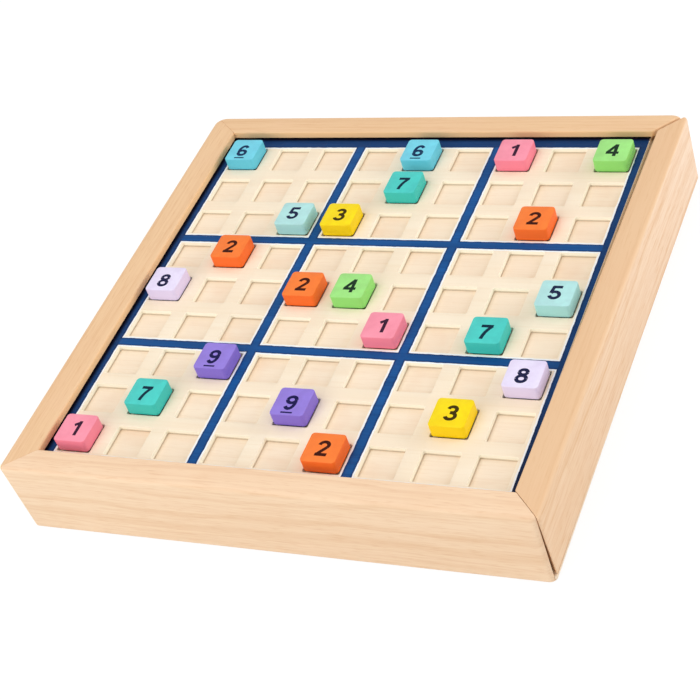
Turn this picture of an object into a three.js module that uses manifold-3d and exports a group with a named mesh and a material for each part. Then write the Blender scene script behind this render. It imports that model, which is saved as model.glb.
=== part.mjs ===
// A wooden sudoku board: a mitred pine case, a sheet of square wells for the number tiles, and a drawer for
// the spare tiles whose front is the right-hand rail of the case.
// Millimetres. X runs to the right, Y to the back and Z up, from the middle of the underside.
import * as THREE from 'three';
import { mergeVertices } from 'three/addons/utils/BufferGeometryUtils.js';
import Module from 'manifold-3d';

const wasm = await Module();
wasm.setup();

// The puzzle as it is set out, from the back row: a digit is a tile and a dot is an empty well
const PUZZLE = [
  '6...6.1.4',
  '....7....',
  '..53...2.',
  '.2.......',
  '8..24...5',
  '.....1.7.',
  '..9.....8',
  '.7..9..3.',
  '1....2...',
];
const CELLS = PUZZLE.length;

// Board
const WELL_SIZE = 19.8; // side of a square well
const LAND_WIDTH = 8.6; // wood between two wells
const SIDE_MARGIN = 5.9; // from the outermost wells to the left rail, and to the board's free edge
const FRONT_MARGIN = 5.2; // from the outermost wells to the front rail
const BACK_MARGIN = 8.8; // from the outermost wells to the back rail
const GRID_THICKNESS = 2.7; // printed sheet with the wells cut through it
const BACKING_THICKNESS = 2.7; // plain sheet that makes the floors of the wells
const BOARD_RECESS = 5.5; // printed face below the top of the rails

// Case
const RAIL_WIDTH = 15;
const GROOVE_DEPTH = 5; // for the board, in the inner face of the rails
const REBATE_DEPTH = 6; // for the bottom panel, in the lower inner edge of the rails
const BASE_THICKNESS = 3.5;
const EDGE_ROUND = 2.2; // sanded outer edges, top and bottom
const TOP_CORNER_RADIUS = 1; // plan radius of the corners, inside the sanded edge
const INNER_EDGE_ROUND = 0.8; // inner top edge of the rails

// Drawer
const DRAWER_HEIGHT = 29; // of its sides and back
const DRAWER_BOARD = 6; // thickness of its sides and back
const DRAWER_BOTTOM_THICKNESS = 2.7;
const DRAWER_BOTTOM_RISE = 2; // its bottom above the lower edge of its sides
const DRAWER_GROOVE_DEPTH = 2.5;

// Tiles
const TILE_HEIGHT = 10;
const TILE_CORNER_RADIUS = 2.4;
const TILE_EDGE_ROUND = 0.9;
const TILES_PER_DIGIT = 9;
const SPARE_ROW_GAP = 3; // between two rows of spare tiles in the drawer
const SPARE_ROW_SETBACK = 8; // from the drawer front to the rows

// Clearances
const GLUE_LINE = 0.05;
const SHEET_PLAY = 0.1; // of a sheet in its groove
const TILE_PLAY = 0.5; // all round a tile in its well
const BOARD_EDGE_GAP = 1.2; // between the board and the drawer front
const DRAWER_RUN_GAP = 0.4; // under the drawer
const DRAWER_TOP_GAP = 1.15; // over the drawer's sides
const DRAWER_SIDE_GAP = 0.8; // on either side of the drawer, when it is centred
const DRAWER_BACK_GAP = 1.5;
const DRAWER_OFFSET = -0.5; // the drawer lies nearer the front rail
const MITRE_GAP = 1.05; // along each end of the drawer front, when it is centred
const TRIM = 1; // stock outside the case that the sanded outline cuts away
const SPARE_JOIN = 0.1; // how far neighbouring tiles of a spare row run into each other

// Facets: a round edge has this many, and a round corner twice as many
const EDGE_STEPS = 2;
const CORNER_STEPS = 3;
const TILE_CORNER_STEPS = 1;

// Heights, from the table up
const drawerLow = BASE_THICKNESS + DRAWER_RUN_GAP;
const drawerHigh = drawerLow + DRAWER_HEIGHT;
const drawerFloorLow = drawerLow + DRAWER_BOTTOM_RISE;
const drawerFloorHigh = drawerFloorLow + DRAWER_BOTTOM_THICKNESS;
const backingLow = drawerHigh + DRAWER_TOP_GAP;
const backingHigh = backingLow + BACKING_THICKNESS;
const gridLow = backingHigh + GLUE_LINE;
const gridHigh = gridLow + GRID_THICKNESS;
const caseHeight = gridHigh + BOARD_RECESS;

// Plan
const cellPitch = WELL_SIZE + LAND_WIDTH;
const wellSpan = CELLS * WELL_SIZE + (CELLS - 1) * LAND_WIDTH;
const openingDepth = FRONT_MARGIN + wellSpan + BACK_MARGIN;
const openingWidth = SIDE_MARGIN + wellSpan + SIDE_MARGIN + BOARD_EDGE_GAP;
const caseWidth = openingWidth + 2 * RAIL_WIDTH;
const caseDepth = openingDepth + 2 * RAIL_WIDTH;
const boardRight = openingWidth / 2 - BOARD_EDGE_GAP;
const wellsMiddleX = boardRight - SIDE_MARGIN - wellSpan / 2;
const wellsMiddleY = (FRONT_MARGIN - BACK_MARGIN) / 2;
const tileSize = WELL_SIZE - 2 * TILE_PLAY;

const UP = new THREE.Vector3(0, 0, 1);

const COLOURS = {
  pine: '#f2d3ab',
  drawerPine: '#ecc793',
  plywood: '#f4dfc2',
  printedBoard: '#f6e8cf',
};
const TILE_COLOURS = {
  1: '#ff93a9',
  2: '#fb7433',
  3: '#fdd818',
  4: '#9de57c',
  5: '#b4e6e2',
  6: '#79cbe2',
  7: '#4bcab8',
  8: '#e6dcf6',
  9: '#9c7ddd',
};

const board = new THREE.Group();

function addPiece(name, geometry, colour, roughness = 0.6) {
  const material = new THREE.MeshStandardMaterial({ color: colour, roughness, metalness: 0 });
  const mesh = new THREE.Mesh(geometry, material);
  mesh.name = name;
  board.add(mesh);
  return mesh;
}

// Booleans

function toSolid(geometry) {
  const bare = geometry.clone();
  bare.deleteAttribute('normal');
  bare.deleteAttribute('uv');
  const merged = mergeVertices(bare);
  const vertProperties = Float32Array.from(merged.attributes.position.array);
  const triVerts = Uint32Array.from(merged.index.array);
  return new wasm.Manifold(new wasm.Mesh({ numProp: 3, vertProperties, triVerts }));
}

function toGeometry(solid) {
  const mesh = solid.getMesh();
  const geometry = new THREE.BufferGeometry();
  geometry.setAttribute('position', new THREE.BufferAttribute(mesh.vertProperties, 3));
  geometry.setIndex(new THREE.BufferAttribute(mesh.triVerts, 1));
  geometry.computeVertexNormals();
  return geometry;
}

// Outlines

function openOutline(points) {
  const outline = new THREE.Shape();
  points.forEach(([x, y], index) => (index === 0 ? outline.moveTo(x, y) : outline.lineTo(x, y)));
  return outline;
}

function outlineOf(points) {
  const outline = openOutline(points);
  outline.closePath();
  return outline;
}

function roundedRectangle(width, depth, radius) {
  const x = width / 2;
  const y = depth / 2;
  const quarter = Math.PI / 2;
  const outline = new THREE.Shape();
  outline.moveTo(x, radius - y);
  outline.absarc(x - radius, y - radius, radius, 0, quarter);
  outline.absarc(radius - x, y - radius, radius, quarter, 2 * quarter);
  outline.absarc(radius - x, radius - y, radius, 2 * quarter, 3 * quarter);
  outline.absarc(x - radius, radius - y, radius, 3 * quarter, 4 * quarter);
  return outline;
}

// A block with round corners in plan and its top and bottom edges rounded over, standing on the XY plane
function softBlock(width, depth, height, corner, edge, cornerSteps, edgeSteps) {
  const block = new THREE.ExtrudeGeometry(roundedRectangle(width - 2 * edge, depth - 2 * edge, corner), {
    depth: height - 2 * edge,
    bevelEnabled: true,
    bevelSize: edge,
    bevelThickness: edge,
    bevelSegments: edgeSteps,
    curveSegments: cornerSteps,
  });
  return block.translate(0, 0, edge);
}

function flatSheet(outline, low, thickness) {
  const sheet = new THREE.ExtrudeGeometry(outline, { depth: thickness, bevelEnabled: false });
  return sheet.translate(0, 0, low);
}

// Boards seen from the end: x runs inwards from the outer face and y runs up

function railSection() {
  const grooveLow = backingLow - SHEET_PLAY;
  const grooveHigh = gridHigh + SHEET_PLAY;
  const rebateHigh = BASE_THICKNESS + GLUE_LINE;
  const section = openOutline([
    [-TRIM, caseHeight],
    [-TRIM, 0],
    [RAIL_WIDTH - REBATE_DEPTH, 0],
    [RAIL_WIDTH - REBATE_DEPTH, rebateHigh],
    [RAIL_WIDTH, rebateHigh],
    [RAIL_WIDTH, grooveLow],
    [RAIL_WIDTH - GROOVE_DEPTH, grooveLow],
    [RAIL_WIDTH - GROOVE_DEPTH, grooveHigh],
    [RAIL_WIDTH, grooveHigh],
    [RAIL_WIDTH, caseHeight - INNER_EDGE_ROUND],
  ]);
  return roundInnerEdge(section);
}

function drawerFrontSection() {
  const section = openOutline([
    [-TRIM, caseHeight],
    [-TRIM, drawerLow],
    [RAIL_WIDTH, drawerLow],
    [RAIL_WIDTH, drawerFloorLow - SHEET_PLAY],
    [RAIL_WIDTH - DRAWER_GROOVE_DEPTH, drawerFloorLow - SHEET_PLAY],
    [RAIL_WIDTH - DRAWER_GROOVE_DEPTH, drawerFloorHigh + SHEET_PLAY],
    [RAIL_WIDTH, drawerFloorHigh + SHEET_PLAY],
    [RAIL_WIDTH, caseHeight - INNER_EDGE_ROUND],
  ]);
  return roundInnerEdge(section);
}

function drawerBoardSection() {
  return outlineOf([
    [0, drawerHigh],
    [0, drawerLow],
    [DRAWER_BOARD, drawerLow],
    [DRAWER_BOARD, drawerFloorLow - SHEET_PLAY],
    [DRAWER_BOARD - DRAWER_GROOVE_DEPTH, drawerFloorLow - SHEET_PLAY],
    [DRAWER_BOARD - DRAWER_GROOVE_DEPTH, drawerFloorHigh + SHEET_PLAY],
    [DRAWER_BOARD, drawerFloorHigh + SHEET_PLAY],
    [DRAWER_BOARD, drawerHigh],
  ]);
}

// Closes a rail's outline with the small round between its inner face and its top
function roundInnerEdge(section) {
  const centreX = RAIL_WIDTH - INNER_EDGE_ROUND;
  const centreY = caseHeight - INNER_EDGE_ROUND;
  section.absarc(centreX, centreY, INNER_EDGE_ROUND, 0, Math.PI / 2);
  section.closePath();
  return section;
}

// Turns a board so that it faces inwards, with its outer face at the given distance from the middle
function placeBoard(geometry, inward, outerFace) {
  const along = new THREE.Vector3().crossVectors(inward, UP);
  const matrix = new THREE.Matrix4().makeBasis(inward, UP, along);
  matrix.setPosition(inward.clone().multiplyScalar(-outerFace));
  return geometry.applyMatrix4(matrix);
}

// A bar with both ends cut at 45 degrees, longest along its outer face, less a gap at each end
function mitredBar(section, length, startGap, endGap) {
  const bar = new THREE.ExtrudeGeometry(section, {
    depth: length,
    bevelEnabled: false,
    curveSegments: EDGE_STEPS,
  });
  const position = bar.attributes.position;
  for (let index = 0; index < position.count; index += 1) {
    const inset = position.getX(index);
    const atEnd = position.getZ(index) > length / 2;
    position.setZ(index, atEnd ? length / 2 - inset - endGap : inset + startGap - length / 2);
  }
  return bar;
}

function squareBar(section, length) {
  const bar = new THREE.ExtrudeGeometry(section, { depth: length, bevelEnabled: false });
  return bar.translate(0, 0, -length / 2);
}

// Case: the outline that the whole case is sanded to, corners and edges rounded

const sandedCase = toSolid(
  softBlock(caseWidth, caseDepth, caseHeight, TOP_CORNER_RADIUS, EDGE_ROUND, CORNER_STEPS, EDGE_STEPS),
);

function sanded(geometry) {
  return toGeometry(toSolid(geometry).intersect(sandedCase));
}

function addRail(name, inward, section, length, outerFace, startGap, endGap) {
  const bar = placeBoard(mitredBar(section, length, startGap, endGap), inward, outerFace);
  addPiece(name, sanded(bar), COLOURS.pine);
}

const TO_RIGHT = new THREE.Vector3(1, 0, 0);
const TO_LEFT = new THREE.Vector3(-1, 0, 0);
const TO_BACK = new THREE.Vector3(0, 1, 0);
const TO_FRONT = new THREE.Vector3(0, -1, 0);

addRail('left_rail', TO_RIGHT, railSection(), caseDepth, caseWidth / 2, GLUE_LINE, GLUE_LINE);
addRail('front_rail', TO_BACK, railSection(), caseWidth, caseDepth / 2, GLUE_LINE, 0);
addRail('back_rail', TO_FRONT, railSection(), caseWidth, caseDepth / 2, 0, GLUE_LINE);

// Bottom panel: it lies in the rebates of three rails, and its lip under the drawer front ends at the mitres
function basePanel() {
  const inRebate = REBATE_DEPTH - SHEET_PLAY;
  const left = -openingWidth / 2 - inRebate;
  const side = openingDepth / 2 + inRebate;
  const lipStart = openingWidth / 2 + inRebate + SHEET_PLAY;
  const lipEnd = caseWidth / 2 + TRIM + SHEET_PLAY;
  const lipSide = caseDepth / 2 + TRIM;
  const outline = outlineOf([
    [left, -side],
    [lipStart, -side],
    [lipEnd, -lipSide],
    [lipEnd, lipSide],
    [lipStart, side],
    [left, side],
  ]);
  return sanded(flatSheet(outline, 0, BASE_THICKNESS));
}
addPiece('bottom_panel', basePanel(), COLOURS.plywood);

// Board: two sheets held in the grooves of three rails, free at the drawer front

function boardOutline() {
  const inGroove = GROOVE_DEPTH - SHEET_PLAY;
  const left = -openingWidth / 2 - inGroove;
  const side = openingDepth / 2 + inGroove;
  return outlineOf([
    [left, -side],
    [boardRight, -side],
    [boardRight, side],
    [left, side],
  ]);
}

// Middle of a cell, with column 0 at the left and row 0 at the back
function cellMiddle(row, column) {
  const half = (CELLS - 1) / 2;
  return [wellsMiddleX + (column - half) * cellPitch, wellsMiddleY + (half - row) * cellPitch];
}

// The stock that is cut out of the sheet for one well, longer than the sheet is thick
function wellCut(row, column) {
  const [x, y] = cellMiddle(row, column);
  const cut = new THREE.BoxGeometry(WELL_SIZE, WELL_SIZE, GRID_THICKNESS + 2 * TRIM);
  return toSolid(cut.translate(x, y, gridLow + GRID_THICKNESS / 2));
}

function gridSheet() {
  let sheet = toSolid(flatSheet(boardOutline(), gridLow, GRID_THICKNESS));
  for (let row = 0; row < CELLS; row += 1) {
    for (let column = 0; column < CELLS; column += 1) {
      sheet = sheet.subtract(wellCut(row, column));
    }
  }
  return toGeometry(sheet);
}

addPiece('backing_sheet', flatSheet(boardOutline(), backingLow, BACKING_THICKNESS), COLOURS.plywood);
addPiece('grid_sheet', gridSheet(), COLOURS.printedBoard);

// Drawer: its front is mitred like a rail, and its bottom lies in grooves on all four sides

const drawerWidth = openingDepth - 2 * DRAWER_SIDE_GAP;
const drawerFrontFace = openingWidth / 2;
const drawerBackFace = -openingWidth / 2 + DRAWER_BACK_GAP;
const drawerSideLength = drawerFrontFace - drawerBackFace - GLUE_LINE;
const drawerSideMiddle = (drawerFrontFace + drawerBackFace - GLUE_LINE) / 2;
const drawerInnerWidth = drawerWidth - 2 * DRAWER_BOARD;

function drawerFront() {
  const frontGap = MITRE_GAP + DRAWER_OFFSET;
  const backGap = MITRE_GAP - DRAWER_OFFSET;
  const bar = mitredBar(drawerFrontSection(), caseDepth, frontGap, backGap);
  return sanded(placeBoard(bar, TO_LEFT, caseWidth / 2));
}

function drawerSide(inward) {
  const side = placeBoard(squareBar(drawerBoardSection(), drawerSideLength), inward, drawerWidth / 2);
  return side.translate(drawerSideMiddle, DRAWER_OFFSET, 0);
}

function drawerBack() {
  const bar = squareBar(drawerBoardSection(), drawerInnerWidth - 2 * GLUE_LINE);
  return placeBoard(bar, TO_RIGHT, -drawerBackFace).translate(0, DRAWER_OFFSET, 0);
}

function drawerBottom() {
  const inGroove = DRAWER_GROOVE_DEPTH - SHEET_PLAY;
  const left = drawerBackFace + DRAWER_BOARD - inGroove;
  const right = drawerFrontFace + inGroove;
  const side = drawerInnerWidth / 2 + inGroove;
  const outline = outlineOf([
    [left, DRAWER_OFFSET - side],
    [right, DRAWER_OFFSET - side],
    [right, DRAWER_OFFSET + side],
    [left, DRAWER_OFFSET + side],
  ]);
  return flatSheet(outline, drawerFloorLow, DRAWER_BOTTOM_THICKNESS);
}

addPiece('drawer_front', drawerFront(), COLOURS.pine);
addPiece('drawer_side_front', drawerSide(TO_BACK), COLOURS.drawerPine);
addPiece('drawer_side_back', drawerSide(TO_FRONT), COLOURS.drawerPine);
addPiece('drawer_back', drawerBack(), COLOURS.drawerPine);
addPiece('drawer_bottom', drawerBottom(), COLOURS.plywood);

// Tiles

function tileBlock() {
  return softBlock(
    tileSize,
    tileSize,
    TILE_HEIGHT,
    TILE_CORNER_RADIUS - TILE_EDGE_ROUND,
    TILE_EDGE_ROUND,
    TILE_CORNER_STEPS,
    1,
  );
}

PUZZLE.forEach((line, row) => {
  [...line].forEach((digit, column) => {
    if (digit !== '.') {
      const [x, y] = cellMiddle(row, column);
      const name = `tile_${digit}_r${row + 1}c${column + 1}`;
      const tile = addPiece(name, tileBlock(), TILE_COLOURS[digit], 0.45);
      tile.position.set(x, y, backingHigh + GLUE_LINE);
    }
  });
});

// The rest of each digit's tiles lie side by side in a row of the drawer, as one piece
function spareRow(count) {
  const pitch = tileSize - SPARE_JOIN;
  let row = toSolid(tileBlock());
  for (let index = 1; index < count; index += 1) {
    row = row.add(toSolid(tileBlock().translate(-index * pitch, 0, 0)));
  }
  return toGeometry(row);
}

const digits = Object.keys(TILE_COLOURS);
const setOut = PUZZLE.join('');
digits.forEach((digit, index) => {
  const spare = TILES_PER_DIGIT - (setOut.split(digit).length - 1);
  const row = addPiece(`spare_row_${digit}`, spareRow(spare), TILE_COLOURS[digit], 0.45);
  const x = drawerFrontFace - SPARE_ROW_SETBACK - tileSize / 2;
  const y = DRAWER_OFFSET + ((digits.length - 1) / 2 - index) * (tileSize + SPARE_ROW_GAP);
  row.position.set(x, y, drawerFloorHigh + GLUE_LINE);
});

export default board;
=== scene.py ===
# %% [markdown]
# # A wooden sudoku board, dressed for its picture
# The board is a shallow pine case. Three of its rails are glued, and the fourth, on the right, is
# the front of a drawer that slides out. A printed sheet with nine by nine square wells lies in the
# case, and painted number tiles stand in some of the wells. The measured solids are loaded first
# and never moved: everything made below is fitted over them, in metres, with X to the right, Y to
# the back and Z up.

# %% Load the measured solids
from math import acos, cos, pi, radians, sin, sqrt

import bmesh
import bpy
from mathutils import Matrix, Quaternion, Vector
from mathutils.geometry import delaunay_2d_cdt


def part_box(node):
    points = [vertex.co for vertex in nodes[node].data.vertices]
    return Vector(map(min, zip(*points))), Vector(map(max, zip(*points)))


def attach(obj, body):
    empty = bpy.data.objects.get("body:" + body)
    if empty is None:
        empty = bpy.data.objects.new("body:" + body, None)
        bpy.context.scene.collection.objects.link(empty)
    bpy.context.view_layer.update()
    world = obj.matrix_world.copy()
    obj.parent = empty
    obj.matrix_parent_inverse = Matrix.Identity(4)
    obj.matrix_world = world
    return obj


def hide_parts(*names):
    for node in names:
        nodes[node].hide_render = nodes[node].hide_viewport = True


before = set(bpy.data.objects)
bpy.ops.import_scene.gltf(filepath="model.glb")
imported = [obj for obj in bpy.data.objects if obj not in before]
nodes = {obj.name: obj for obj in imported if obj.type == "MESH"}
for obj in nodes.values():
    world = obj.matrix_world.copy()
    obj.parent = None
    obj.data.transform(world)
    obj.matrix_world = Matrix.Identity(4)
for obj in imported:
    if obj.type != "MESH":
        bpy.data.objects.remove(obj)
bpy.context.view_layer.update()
MM = 0.001


def in_mm(*lengths):
    """Lengths in millimetres, rounded for printing."""
    return [round(length / MM, 2) for length in lengths]


# %% [markdown]
# ## Camera
# The camera comes first, because every later judgement is made through it. A wooden case has long
# straight edges, and these fix the place and the lens well. In the picture the board lies at a
# slant, so the camera is aimed at a point of the board and then rolled by about 21 degrees round
# its own line of sight.

# %% Camera
CAMERA_PLACE = Vector((0.4105, -0.6196, 0.6302))
CAMERA_AIM = Vector((0.0121, -0.0421, 0.0395))
CAMERA_ROLL = radians(-20.84)
CAMERA_LENS = 92.36
SENSOR_WIDTH = 36

scene = bpy.context.scene


def place_in_scene(name, data):
    """Makes an object of a mesh, a lamp or a camera and puts it in the scene."""
    made = bpy.data.objects.new(name, data)
    scene.collection.objects.link(made)
    return made


camera = place_in_scene("camera", bpy.data.cameras.new("camera"))
camera.data.lens = CAMERA_LENS
camera.data.sensor_fit = "HORIZONTAL"
camera.data.sensor_width = SENSOR_WIDTH
camera.location = CAMERA_PLACE
camera.rotation_mode = "QUATERNION"
sight = (CAMERA_AIM - CAMERA_PLACE).to_track_quat("-Z", "Y")
camera.rotation_quaternion = sight @ Quaternion((0, 0, 1), CAMERA_ROLL)
scene.camera = camera
scene.view_settings.view_transform = "Standard"
print("Camera", round((CAMERA_AIM - CAMERA_PLACE).length, 3), "m from the board")

# %% [markdown]
# ## Nodes of a finish
# A finish is a small tree of nodes. It could be wired by hand in the shader editor, but nine paints
# and four rails repeat the same few nodes, so helpers do the wiring: one adds a node and links or
# sets its sockets, one does sums, one starts a material with its shader, and one puts materials on
# a piece.


# %% Nodes of a finish
def add_node(tree, kind, inputs=None, **settings):
    """Adds a node: an input that is a socket gets a link, and any other input is set."""
    made = tree.nodes.new(kind)
    for name, value in settings.items():
        setattr(made, name, value)
    for name, value in (inputs or {}).items():
        if isinstance(value, bpy.types.NodeSocket):
            tree.links.new(value, made.inputs[name])
        else:
            made.inputs[name].default_value = value
    return made


def calculate(tree, operation, first, second=0.0, third=0.0):
    inputs = {0: first, 1: second, 2: third}
    return add_node(tree, "ShaderNodeMath", inputs, operation=operation).outputs[0]


def new_finish(name):
    material = bpy.data.materials.new(name)
    material.use_nodes = True
    tree = material.node_tree
    return material, tree, tree.nodes["Principled BSDF"]


def dress(piece, *materials):
    """Puts materials on a piece, in order, in place of what it wears. A bare piece isn't cleared,
    because clearing also forgets which face wears which material."""
    if piece.data.materials:
        piece.data.materials.clear()
    for material in materials:
        piece.data.materials.append(material)


print("Helpers:", ", ".join(helper.__name__ for helper in (add_node, calculate, new_finish, dress)))

# %% [markdown]
# ## Floor and backdrop
# The board was photographed on white. More light would bleach the pale wood, so the white is made
# in the floor's own material: camera rays see it glow at just under full white, with a share of
# real, shaded white on top that keeps the board's soft shadow. Light that bounces from the floor to
# the board sees plain pale paint.

# %% Floor and backdrop
FLOOR_HALF = 6.0
FLOOR_PAINT = 0.72
FLOOR_SHADE = 0.2
GLOW = 0.85
CORNER_SIGNS = ((-1, -1), (1, -1), (1, 1), (-1, 1))


def grey(level):
    return (level, level, level, 1)


def floor_finish():
    material, tree, shader = new_finish("white_floor")
    path = add_node(tree, "ShaderNodeLightPath").outputs
    seen = calculate(tree, "MAXIMUM", path["Is Camera Ray"], path["Is Glossy Ray"])
    seen = calculate(tree, "MAXIMUM", seen, path["Is Transmission Ray"])
    paint = add_node(tree, "ShaderNodeBsdfDiffuse", {"Color": grey(FLOOR_PAINT)})
    shade = add_node(tree, "ShaderNodeBsdfDiffuse", {"Color": grey(FLOOR_SHADE)})
    glow = add_node(tree, "ShaderNodeEmission", {"Color": grey(1), "Strength": GLOW})
    white = add_node(tree, "ShaderNodeAddShader", {0: shade.outputs[0], 1: glow.outputs[0]})
    both = add_node(tree, "ShaderNodeMixShader", {0: seen, 1: paint.outputs[0], 2: white.outputs[0]})
    tree.links.new(both.outputs[0], tree.nodes["Material Output"].inputs["Surface"])
    tree.nodes.remove(shader)
    return material


floor_mesh = bpy.data.meshes.new("floor")
floor_corners = [(x * FLOOR_HALF, y * FLOOR_HALF, 0) for x, y in CORNER_SIGNS]
floor_mesh.from_pydata(floor_corners, [], [(0, 1, 2, 3)])
floor = place_in_scene("floor", floor_mesh)
dress(floor, floor_finish())
print("Floor of", 2 * FLOOR_HALF, "m, glowing at", GLOW)

# %% [markdown]
# ## Light
# A product picture of this kind is lit by large soft boxes. One hangs overhead and a little to the
# front left, and draws the soft shadows to the right of the tiles. One stands low at the front and
# keeps the front rail as bright as the top, and one on the right does the same for the drawer
# front. The world gives the rest, at a plain level, and shows as white behind the floor.

# %% Light
WORLD_LEVEL = 0.62
LAMPS = {
    "overhead_box": {"place": (-0.35, -0.45, 1.5), "aim": (0, 0, 0), "side": 1.2, "watts": 6.3},
    "front_box": {"place": (-0.5, -1.5, 0.7), "aim": (0, 0, 0.02), "side": 1.2, "watts": 8.2},
    "right_box": {"place": (1.25, 0.6, 0.5), "aim": (0.1, 0.1, 0.02), "side": 1.0, "watts": 8.4},
}


def span(tree, value, from_low, from_high, to_low, to_high):
    """Turns a value between two limits into one between two others, and holds it there beyond them."""
    return add_node(tree, "ShaderNodeMapRange", {
        "Value": value, "From Min": from_low, "From Max": from_high,
        "To Min": to_low, "To Max": to_high}).outputs[0]


def world_light():
    world = bpy.data.worlds.new("studio")
    world.use_nodes = True
    tree = world.node_tree
    path = add_node(tree, "ShaderNodeLightPath").outputs
    level = span(tree, path["Is Camera Ray"], 0, 1, WORLD_LEVEL, 1.0)
    back = tree.nodes["Background"]
    back.inputs["Color"].default_value = grey(1)
    tree.links.new(level, back.inputs["Strength"])
    return world


def soft_box(name, place, aim, side, watts):
    lamp = bpy.data.lights.new(name, "AREA")
    lamp.size = side
    lamp.energy = watts
    box = place_in_scene(name, lamp)
    box.location = place
    box.rotation_euler = (Vector(aim) - Vector(place)).to_track_quat("-Z", "Y").to_euler()


scene.world = world_light()
for lamp_name, lamp_values in LAMPS.items():
    soft_box(lamp_name, **lamp_values)
print("Lamps:", ", ".join(LAMPS))

# %% [markdown]
# ## Wood grain
# Every wooden piece is cut from a plank. A picture of wood could be laid on each face, but then
# faces, edges and mitred ends wouldn't agree. So the grain is worked out in the plank's own space,
# and all sides of a bar cut the same plank. Fibres, pores and broad patches are noise that is drawn
# out along the grain, each to its own length.

# %% Wood grain
FIBRES = {"along": 14, "across": 700, "detail": 3.0}
PATCHES = {"along": 9, "across": 75, "detail": 2.0}
PORES = {"along": 110, "across": 1500, "detail": 1.0}


def on_vectors(tree, operation, first, second):
    return add_node(tree, "ShaderNodeVectorMath", {0: first, 1: second}, operation=operation).outputs[0]


def frame_place(tree):
    """Where a point lies in the shared frame."""
    return add_node(tree, "ShaderNodeTexCoord").outputs["Object"]


def along_grain(tree, along_y, seed):
    """Where a point lies in its plank, with X along the grain; the seed slides each plank along."""
    turn = -pi / 2 if along_y else 0
    return add_node(tree, "ShaderNodeMapping", {
        "Vector": frame_place(tree), "Rotation": (0, 0, turn), "Location": (seed, 0, 0)}).outputs[0]


def drawn_out(tree, place, along, across, detail):
    """Noise that is coarse along the grain and fine across it."""
    fine = on_vectors(tree, "MULTIPLY", place, (along, across, across))
    inputs = {"Vector": fine, "Scale": 1.0, "Detail": detail}
    return add_node(tree, "ShaderNodeTexNoise", inputs).outputs


print("Fibres are", FIBRES["across"] // FIBRES["along"], "times as long as wide")

# %% [markdown]
# ## Year rings
# A tree lays down a ring each year: pale wood early on, and a dark line of late wood. A wave texture
# could draw rings, but they would be too even. Here a point's distance from a pith somewhere outside
# the board is counted in rings. Noise lets the rings drift along the plank and makes some years wide
# and others strong, and a ramp of tones draws each year.

# %% Year rings
DRIFT = {"along": 9, "across": 24, "detail": 2.0}
SEASON = {"scale": 0.45, "detail": 1.0}
SEASON_RINGS = 2.2
VIGOUR = {"scale": 0.8, "detail": 0.0}
VIGOUR_RANGE = (0.3, 1.2)
NOISE_BAND = (0.3, 0.7)  # most of a noise lies between these
YEAR_START, YEAR_END = 0.25, 0.3
YEAR_STOPS = ((0.12, 0.0), (0.55, 0.12), (0.88, 1.0))


def yearly_noise(tree, age, scale, detail):
    inputs = {"W": age, "Scale": scale, "Detail": detail}
    return add_node(tree, "ShaderNodeTexNoise", inputs, noise_dimensions="1D").outputs["Fac"]


def ring_age(tree, place, pith, ring_width, wander):
    """How many rings out from the pith a point lies, with the plank's drift and uneven years."""
    drift = on_vectors(tree, "SUBTRACT", drawn_out(tree, place, **DRIFT)["Color"], (0.5, 0.5, 0.5))
    drift = on_vectors(tree, "MULTIPLY", drift, (wander, wander, wander))
    bent = on_vectors(tree, "ADD", place, drift)
    bent = on_vectors(tree, "SUBTRACT", bent, (0, *pith))
    bent = on_vectors(tree, "MULTIPLY", bent, (0, 1, 1))
    radius = add_node(tree, "ShaderNodeVectorMath", {0: bent}, operation="LENGTH").outputs["Value"]
    age = calculate(tree, "DIVIDE", radius, ring_width)
    return calculate(tree, "MULTIPLY_ADD", yearly_noise(tree, age, **SEASON), SEASON_RINGS, age)


def ring_lines(tree, age):
    """Pale early wood and a dark line of late wood in every year, stronger in some years."""
    year = add_node(tree, "ShaderNodeValToRGB", {"Fac": calculate(tree, "FRACT", age)})
    ramp = year.color_ramp.elements
    ramp[0].color = grey(YEAR_START)
    ramp[1].color = grey(YEAR_END)
    for position, level in YEAR_STOPS:
        ramp.new(position).color = grey(level)
    vigour = span(tree, yearly_noise(tree, age, **VIGOUR), *NOISE_BAND, *VIGOUR_RANGE)
    return calculate(tree, "MULTIPLY", year.outputs["Color"], vigour)


def plank(tree, along_y, seed, pith, ring_width, wander):
    """The ring, fibre, patch and pore patterns of a plank whose grain runs along X, or along Y."""
    place = along_grain(tree, along_y, seed)
    ring = ring_lines(tree, ring_age(tree, place, pith, ring_width, wander))
    return ring, *(drawn_out(tree, place, **pattern)["Fac"] for pattern in (FIBRES, PATCHES, PORES))


print("Tones in a year:", len(YEAR_STOPS) + 2)

# %% [markdown]
# ## Layers of colour
# Wood, print and paint are all built up in layers: each tint is laid over the last where its pattern
# is strong, and a stack of mix nodes does that. Colours are written as they look on a screen, from 0
# to 255, and turned into the linear values that a shader works with. A surface also needs a
# roughness, a strength of mirroring and, where fibres stand up, a bump.


# %% Layers of colour
def screen_colour(red, green, blue):
    """A screen colour as the linear colour of a shader, by the sRGB curve."""
    def linear(level):
        share = level / 255
        return share / 12.92 if share <= 0.04045 else ((share + 0.055) / 1.055) ** 2.4
    return (linear(red), linear(green), linear(blue), 1)


def mix_colours(tree, share, first, second):
    return add_node(tree, "ShaderNodeMix", {0: share, 6: first, 7: second}, data_type="RGBA").outputs[2]


def overlay(tree, colour, pattern, tint, low, high, share):
    """Lays a tint over a colour where a pattern rises from low to high, up to a share."""
    return mix_colours(tree, span(tree, pattern, low, high, 0, share), colour, tint)


def noise(tree, scale, detail):
    inputs = {"Vector": frame_place(tree), "Scale": scale, "Detail": detail}
    return add_node(tree, "ShaderNodeTexNoise", inputs).outputs["Fac"]


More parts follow.
